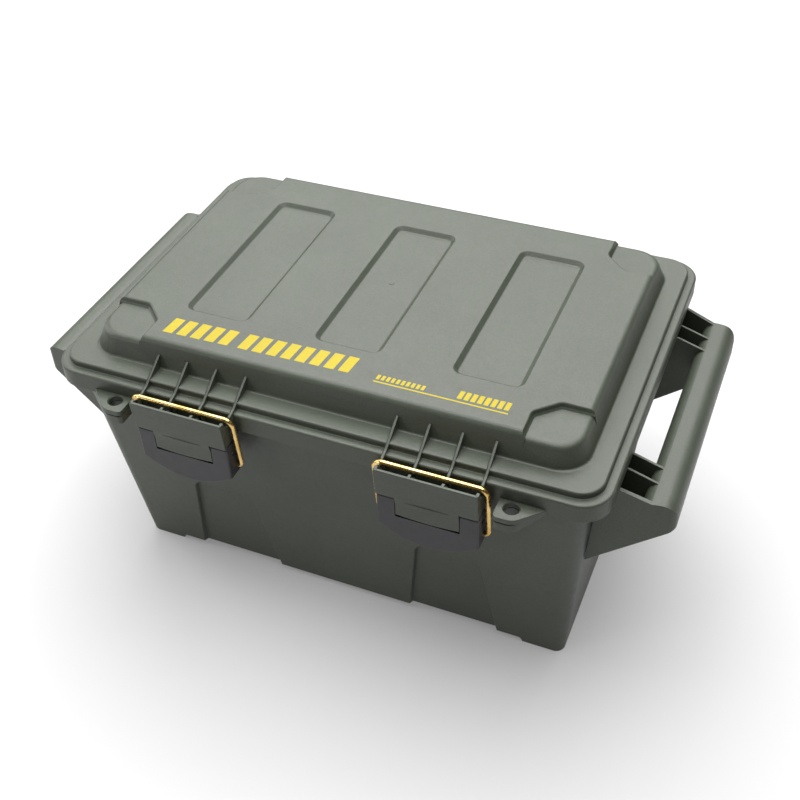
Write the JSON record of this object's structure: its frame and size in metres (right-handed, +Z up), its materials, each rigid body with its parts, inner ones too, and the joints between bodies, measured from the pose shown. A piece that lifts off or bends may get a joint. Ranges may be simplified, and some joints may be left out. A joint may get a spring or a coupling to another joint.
{
  "type": "hinged utility crate",
  "caption": "Moulded plastic utility crate with a drafted tub, hinged lid, side carry handles and over-centre wire latches.",
  "frame": {"origin": "centre of the box's plan, on the surface the feet stand on", "axes": "+X along the length towards the right handle, -Y towards the latches, +Y towards the hinges, +Z up"},
  "size_m": [0.423, 0.2779, 0.194],
  "materials": {
    "olive_plastic": "fine textured",
    "black_plastic": "fine textured",
    "zinc_wire": "yellow zinc plated",
    "steel_pin": "plain drawn wire",
    "rubber_seal": "matt"
  },
  "bodies": {
    "base": {"tub": "olive_plastic", "gasket": "rubber_seal", "handle_left": "olive_plastic", "handle_right": "olive_plastic", "latch_mount_left": "olive_plastic", "latch_mount_right": "olive_plastic", "lever_pin_left": "steel_pin", "lever_pin_right": "steel_pin", "hinge_pin_left": "steel_pin", "hinge_pin_right": "steel_pin"},
    "lid_body": {"lid": "olive_plastic"},
    "lever_left_body": {"lever_left": "black_plastic"},
    "lever_right_body": {"lever_right": "black_plastic"},
    "bail_left_body": {"bail_left": "zinc_wire"},
    "bail_right_body": {"bail_right": "zinc_wire"}
  },
  "joints": [
    {"name": "lid_hinge", "type": "hinge", "parent": "base", "child": "lid_body", "pos_m": [0, 0.13475, 0.156], "axis": [-1, 0, 0], "range_deg": [0, 105]},
    {"name": "lever_left_hinge", "type": "hinge", "parent": "base", "child": "lever_left_body", "pos_m": [-0.0795, -0.129, 0.145], "axis": [-1, 0, 0], "range_deg": [0, 95]},
    {"name": "bail_left_hinge", "type": "hinge", "parent": "lever_left_body", "child": "bail_left_body", "pos_m": [-0.0795, -0.1255, 0.1325], "axis": [-1, 0, 0], "range_deg": [-73, 0]},
    {"name": "lever_right_hinge", "type": "hinge", "parent": "base", "child": "lever_right_body", "pos_m": [0.0795, -0.129, 0.145], "axis": [-1, 0, 0], "range_deg": [0, 95]},
    {"name": "bail_right_hinge", "type": "hinge", "parent": "lever_right_body", "child": "bail_right_body", "pos_m": [0.0795, -0.1255, 0.1325], "axis": [-1, 0, 0], "range_deg": [-73, 0]}
  ],
  "couplings": [
    {"joint": "bail_left_hinge", "follows": "lever_left_hinge", "ratio": -0.75},
    {"joint": "bail_right_hinge", "follows": "lever_right_hinge", "ratio": -0.75}
  ]
}
